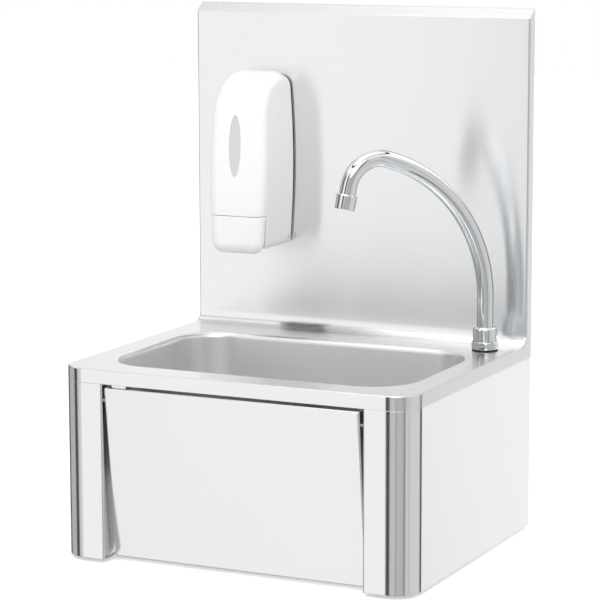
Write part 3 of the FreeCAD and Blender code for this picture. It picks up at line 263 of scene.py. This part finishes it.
class SoapFinish(bpy.types.PropertyGroup):
    """Colours of the soap dispenser"""
    cover_colour: StringProperty(name="Cover colour", default="#F7F8F8",
                                 description="Colour of the dispenser's cover, sRGB hex")
    window_colour: StringProperty(name="Window colour", default="#D2D4D6",
                                  description="Colour of the level window, sRGB hex")


class StudioSetup(bpy.types.PropertyGroup):
    """Camera and light"""
    camera_place: FloatVectorProperty(name="Camera", size=3, default=(1.17725, -2.60799, 0.50572),
                                      subtype="TRANSLATION", unit="LENGTH",
                                      description="Where the camera stands")
    lens: FloatProperty(name="Lens", default=155.35, min=20, max=400,
                        description="Focal length on a 36 mm wide sensor, in millimetres")
    key_power: FloatProperty(name="Key light", default=9.0, min=0, max=400, unit="POWER",
                             description="Power of the large soft light above and in front")


# ---------------------------------------------------------------------------------------------
# Pieces
# ---------------------------------------------------------------------------------------------
class SINK_OT_sheet_metal(bpy.types.Operator):
    """Brush the worktop, the bowl, the side panels and the knee panel"""
    bl_idname = "sink.sheet_metal"
    bl_label = "Sheet metal"

    def execute(self, context):
        finish = context.scene.sink_sheet
        # strokes run along the front: soft sheen, in which only upright edges stay sharp
        flat = brushed_stainless("304 stainless sheet, brushed along the front",
                                 finish.deck_colour, finish.roughness)
        # reflections blur up and down only, so the round front corners show crisp bands
        upright = brushed_stainless("304 stainless sheet, brushed front to back",
                                    finish.deck_colour, finish.roughness, along="Y",
                                    across=(0, 0, 1))
        # ground after pressing: duller, with the same sheen in every direction; its colour is set
        # lighter than the sheet's, as painted light for the shade inside the bowl
        pressed = brushed_stainless("304 stainless bowl, pressed and satin ground",
                                    finish.bowl_colour_with_painted_light, 0.36, drawn_out=0.0)
        dress(("worktop", "knee_panel", "hanger_strip", "panel_stop", "valve_bracket"), flat)
        dress(("left_side_panel", "right_side_panel"), upright)
        dress(("bowl", "waste_strainer"), pressed)
        return {"FINISHED"}


class SINK_OT_spout(bpy.types.Operator):
    """Chrome the spout, its nozzle, its swivel nut and its foot"""
    bl_idname = "sink.spout"
    bl_label = "Spout"

    def execute(self, context):
        # buffed before plating: a bright mirror with dark lines along the tube
        chrome = polished_chrome("Chrome plate on brass, buffed", "#E9EBED", 0.045)
        dress(("spout_tube", "outlet_nozzle", "swivel_nut", "spout_base", "waste_body",
               "valve_plunger"), chrome)
        # a thin dull black line under each foot and flange
        rubber = moulded_rubber("Nitrile rubber, moulded", ("#202122", "#303234"))
        dress(("base_gasket", "spout_seals", "waste_seal", "stop_buffer"), rubber)
        # waxy dark grey inside the nozzle and the inlets
        plastic = moulded_plastic("Acetal, moulded dark grey", ("#5E6266", "#6A6E72"), 0.45)
        dress(("aerator", "non_return_valves"), plastic)
        return {"FINISHED"}


class SINK_OT_dispenser(bpy.types.Operator):
    """Give the soap dispenser its gloss white plastic and its level window"""
    bl_idname = "sink.dispenser"
    bl_label = "Soap dispenser"

    def execute(self, context):
        finish = context.scene.sink_soap
        # a clean white gloss with soft wide highlights
        white = moulded_plastic("ABS, moulded gloss white", (finish.cover_colour, "#F9F9F9"),
                                0.22, grain=0.8, depth=0.004)
        dress(("dispenser_cover", "push_bar", "dispenser_back_plate"), white)
        # glassy pale grey, a shade darker than the cover
        window = moulded_plastic("SAN, moulded smoke grey", (finish.window_colour, "#D6D8DA"),
                                 0.12, coat=0.3)
        dress(("dispenser_window",), window)
        # milky, so the bottle shows as a soft shape behind the cover; the pump is plain and matt
        dress(("soap_bottle",), clear_plastic("Polyethylene bottle, blown", "#EEF2EE", 0.35, 0.5))
        dress(("pump_body", "pump_plunger"),
              moulded_plastic("Polypropylene, moulded grey", ("#D3D6D7", "#DBDDDE"), 0.4))
        return {"FINISHED"}


class SINK_OT_fittings(bpy.types.Operator):
    """Finish the valves, pipes, nuts, rail and screws under and behind the sink"""
    bl_idname = "sink.fittings"
    bl_label = "Fittings"

    def execute(self, context):
        # nickel is a warm silver, bare brass a dull gold, chromed pipe bright, zinc bluish grey
        nickel = turned_metal("Brass body, nickel plated", ("#BDBCB6", "#CBCAC4"), 0.24)
        brass = turned_metal("Brass nut, machined", ("#B7975A", "#C8AA6C"), 0.3)
        pipe = turned_metal("Copper pipe, chrome plated", ("#CFD1D3", "#DADCDD"), 0.14)
        zinc = turned_metal("Steel, bright zinc plated", ("#A6AAAE", "#B6BABD"), 0.34)
        # satin black, with edges that catch a little light
        knob = moulded_plastic("Polyamide knob, moulded black", ("#26282A", "#2E3032"), 0.42)
        dress(("valve_body", "valve_nuts", "mixer_body"), nickel)
        dress(("pipe_nuts", "shank_nut"), brass)
        dress(("supply_pipe", "outlet_pipe"), pipe)
        dress(("wall_rail", "mixer_bracket", "pivot_screws", "pivot_washers", "pivot_nuts",
               "shank_washer", "strainer_screw", "dispenser_screws", "cover_hinge_pins",
               "bar_pins"), zinc)
        dress(("mixer_knob",), knob)
        return {"FINISHED"}


# ---------------------------------------------------------------------------------------------
# Floor, light and camera
# ---------------------------------------------------------------------------------------------
FLOOR_HALF = 6.0
FLOOR_GAP = 4 * MM
WHITE = linear("#FFFFFF")
ROOM_LIGHT = 0.90
PAPER_GLOW = 0.42
# where the lamps aim, and each one's name, place, width, height, share of the key light's power,
# and whether glossy surfaces mirror it
MIDDLE = (0, -0.16, 0.08)
LAMPS = (("key", (0.9, -1.9, 1.5), 1.2, 1.2, 1.0, True),
         ("side", (1.9, -0.4, 0.3), 0.9, 1.4, 0.6, False),
         ("top", (-0.2, -0.7, 1.9), 1.2, 0.9, 0.5, True))
# the camera's own axes: right along the picture, and ahead into it
CAMERA_RIGHT = (0.90109, 0.43362, -0.00254)
CAMERA_AHEAD = (-0.42822, 0.88893, -0.16256)


def panel_light(name, place, width, height, power):
    """A large soft lamp that faces the middle of the sink and doesn't show in the picture."""
    data = bpy.data.lights.new(name, "AREA")
    data.shape = "RECTANGLE"
    data.size, data.size_y, data.energy = width, height, power
    lamp = bpy.data.objects.new(name, data)
    bpy.context.scene.collection.objects.link(lamp)
    lamp.location = place
    lamp.rotation_euler = (Vector(MIDDLE) - Vector(place)).to_track_quat("-Z", "Y").to_euler()
    lamp.visible_camera = False
    return lamp


# What every glossy surface mirrors round the sink, by compass direction in degrees from +X
# towards +Y, and how bright it is: white and pale grey card, with narrow dark flags.  Camera,
# diffuse and transmission rays see plain white instead.  The flags were placed by trial for the
# studio's camera, where they darken the edges of the columns and the spout, and so that flat
# upright sheet mirrors none of them in views at multiples of 45 degrees.  Between those views it
# can mirror one, and then looks dark.
TENT = ((-160, 0.5), (-158, 0.03), (-144, 0.03), (-141, 0.66), (-129, 0.72), (-126, 1.05),
        (-109, 1.05), (-107, 0.0), (-97, 0.0), (-94, 0.6), (-71, 0.57), (-70, 0.32),
        (-66, 0.32), (-65, 0.52), (-36, 0.5), (-35, 0.22), (-29, 0.22), (-28, 0.66),
        (-15, 0.7), (-14, 0.52), (-10, 0.52), (-9, 0.7), (49, 0.74), (51, 0.0), (61, 0.0),
        (64, 1.05), (122, 1.05), (127, 0.72), (142, 0.6), (144, 0.03), (158, 0.03), (160, 0.5))
# the cards end and the roof begins here, by the sine of the height above the horizon
CARD_TOP, ROOF_FOOT = 0.45, 0.62
# overhead, by the same sine: white cloth with one dark bar round it
ROOF = ((0.0, 1.15), (0.755, 1.15), (0.77, 0.04), (0.82, 0.04), (0.835, 1.15), (1.0, 1.15))


def light_tent(scene):
    """A world that is white but for glossy rays, which see the cards, the flags and the roof."""
    world = bpy.data.worlds.new("studio")
    scene.world = world
    world.use_nodes = True
    tree = world.node_tree
    tree.nodes.clear()
    place = add(tree, "ShaderNodeTexCoord")
    parts = add(tree, "ShaderNodeSeparateXYZ", Vector=(place, "Generated"))
    compass = add(tree, "ShaderNodeMath", {"operation": "ARCTAN2"},
                  _0=(parts, "Y"), _1=(parts, "X"))
    along = add(tree, "ShaderNodeMapRange", {"From Min": -math.pi, "From Max": math.pi},
                Value=(compass, "Value"))
    cards = add(tree, "ShaderNodeValToRGB", Fac=(along, "Result"),
                stops=[((angle + 180) / 360, level) for angle, level in TENT])
    height = add(tree, "ShaderNodeMapRange", {"From Min": CARD_TOP, "From Max": ROOF_FOOT},
                 Value=(parts, "Z"))
    canopy = add(tree, "ShaderNodeValToRGB", stops=ROOF, Fac=(parts, "Z"))
    # a Mix node's colours are its sockets 6 and 7, and its output 2
    around = add(tree, "ShaderNodeMix", {"data_type": "RGBA"},
                 _0=(height, "Result"), _6=(cards, "Color"), _7=(canopy, "Color"))
    seen = add(tree, "ShaderNodeLightPath")
    soft = add(tree, "ShaderNodeBackground", {"Color": WHITE, "Strength": ROOM_LIGHT})
    tent = add(tree, "ShaderNodeBackground", {"Strength": 1.0}, Color=(around, 2))
    backdrop = add(tree, "ShaderNodeBackground", {"Color": WHITE, "Strength": 1.0})
    metal = add(tree, "ShaderNodeMixShader", Fac=(seen, "Is Glossy Ray"),
                _1=(soft, "Background"), _2=(tent, "Background"))
    sight = add(tree, "ShaderNodeMath", {"operation": "MAXIMUM"},
                _0=(seen, "Is Camera Ray"), _1=(seen, "Is Transmission Ray"))
    mix = add(tree, "ShaderNodeMixShader", Fac=(sight, "Value"),
              _1=(metal, "Shader"), _2=(backdrop, "Background"))
    add(tree, "ShaderNodeOutputWorld", Surface=(mix, "Shader"))


class SINK_OT_studio(bpy.types.Operator):
    """Put the sink in front of a plain pale floor, with soft light and the camera"""
    bl_idname = "sink.studio"
    bl_label = "Studio"

    def execute(self, context):
        setup = context.scene.sink_studio
        scene = context.scene
        mesh = bpy.data.meshes.new("floor")
        work = bmesh.new()
        bmesh.ops.create_grid(work, x_segments=1, y_segments=1, size=FLOOR_HALF)
        work.to_mesh(mesh)
        work.free()
        floor = bpy.data.objects.new("floor", mesh)
        scene.collection.objects.link(floor)
        floor.location = (0, 0, CAD_BOX[0][2] - FLOOR_GAP)
        # the paper glows for camera and transmission rays alone, so it comes out white, keeps the
        # shadow and puts no light on the sink
        material, tree = new_material("Studio floor, white paper")
        seen = add(tree, "ShaderNodeLightPath")
        sight = add(tree, "ShaderNodeMath", {"operation": "MAXIMUM"},
                    _0=(seen, "Is Camera Ray"), _1=(seen, "Is Transmission Ray"))
        paper = add(tree, "ShaderNodeBsdfDiffuse", {"Color": linear("#F4F4F4")})
        glow = add(tree, "ShaderNodeEmission", {"Color": WHITE, "Strength": PAPER_GLOW})
        lit = add(tree, "ShaderNodeAddShader", _0=(paper, "BSDF"), _1=(glow, "Emission"))
        plain = add(tree, "ShaderNodeMixShader", Fac=(sight, "Value"),
                    _1=(paper, "BSDF"), _2=(lit, "Shader"))
        add(tree, "ShaderNodeOutputMaterial", Surface=(plain, "Shader"))
        mesh.materials.append(material)
        # glossy surfaces mirror the tent instead of the paper
        floor.visible_glossy = False
        light_tent(scene)
        for name, place, width, height, share, mirrored in LAMPS:
            lamp = panel_light(name, place, width, height, setup.key_power * share)
            lamp.visible_glossy = mirrored

        data = bpy.data.cameras.new("camera")
        camera = bpy.data.objects.new("camera", data)
        scene.collection.objects.link(camera)
        data.sensor_width = 36.0
        data.lens = setup.lens
        data.clip_end = 100.0
        right = Vector(CAMERA_RIGHT).normalized()
        ahead = Vector(CAMERA_AHEAD).normalized()
        up = right.cross(ahead)
        turned = Matrix((right, up, -ahead)).transposed()
        camera.matrix_world = Matrix.Translation(setup.camera_place) @ turned.to_4x4()
        scene.camera = camera
        scene.view_settings.view_transform = "Standard"
        return {"FINISHED"}


class SINK_PT_panel(bpy.types.Panel):
    """Lists the finishes, the studio and the steps that make them"""
    bl_label = "Hand wash sink"
    bl_idname = "SINK_PT_panel"
    bl_space_type = "VIEW_3D"
    bl_region_type = "UI"
    bl_category = "Sink"

    def draw(self, context):
        scene = context.scene
        for group in (scene.sink_sheet, scene.sink_soap, scene.sink_studio):
            box = self.layout.box()
            for name in group.bl_rna.properties.keys():
                if name not in ("rna_type", "name"):
                    box.prop(group, name)
        for step in STEPS:
            self.layout.operator(step.bl_idname)


STEPS = (SINK_OT_sheet_metal, SINK_OT_spout, SINK_OT_dispenser, SINK_OT_fittings, SINK_OT_studio)
CLASSES = (SheetFinish, SoapFinish, StudioSetup) + STEPS + (SINK_PT_panel,)


def register():
    for item in CLASSES:
        bpy.utils.register_class(item)
    bpy.types.Scene.sink_sheet = PointerProperty(type=SheetFinish)
    bpy.types.Scene.sink_soap = PointerProperty(type=SoapFinish)
    bpy.types.Scene.sink_studio = PointerProperty(type=StudioSetup)


def unregister():
    for name in ("sink_sheet", "sink_soap", "sink_studio"):
        delattr(bpy.types.Scene, name)
    for item in reversed(CLASSES):
        bpy.utils.unregister_class(item)


def main():
    """Run every step once."""
    register()
    for step in STEPS:
        family, name = step.bl_idname.split(".")
        getattr(getattr(bpy.ops, family), name)()


if __name__ == "__main__":
    main()
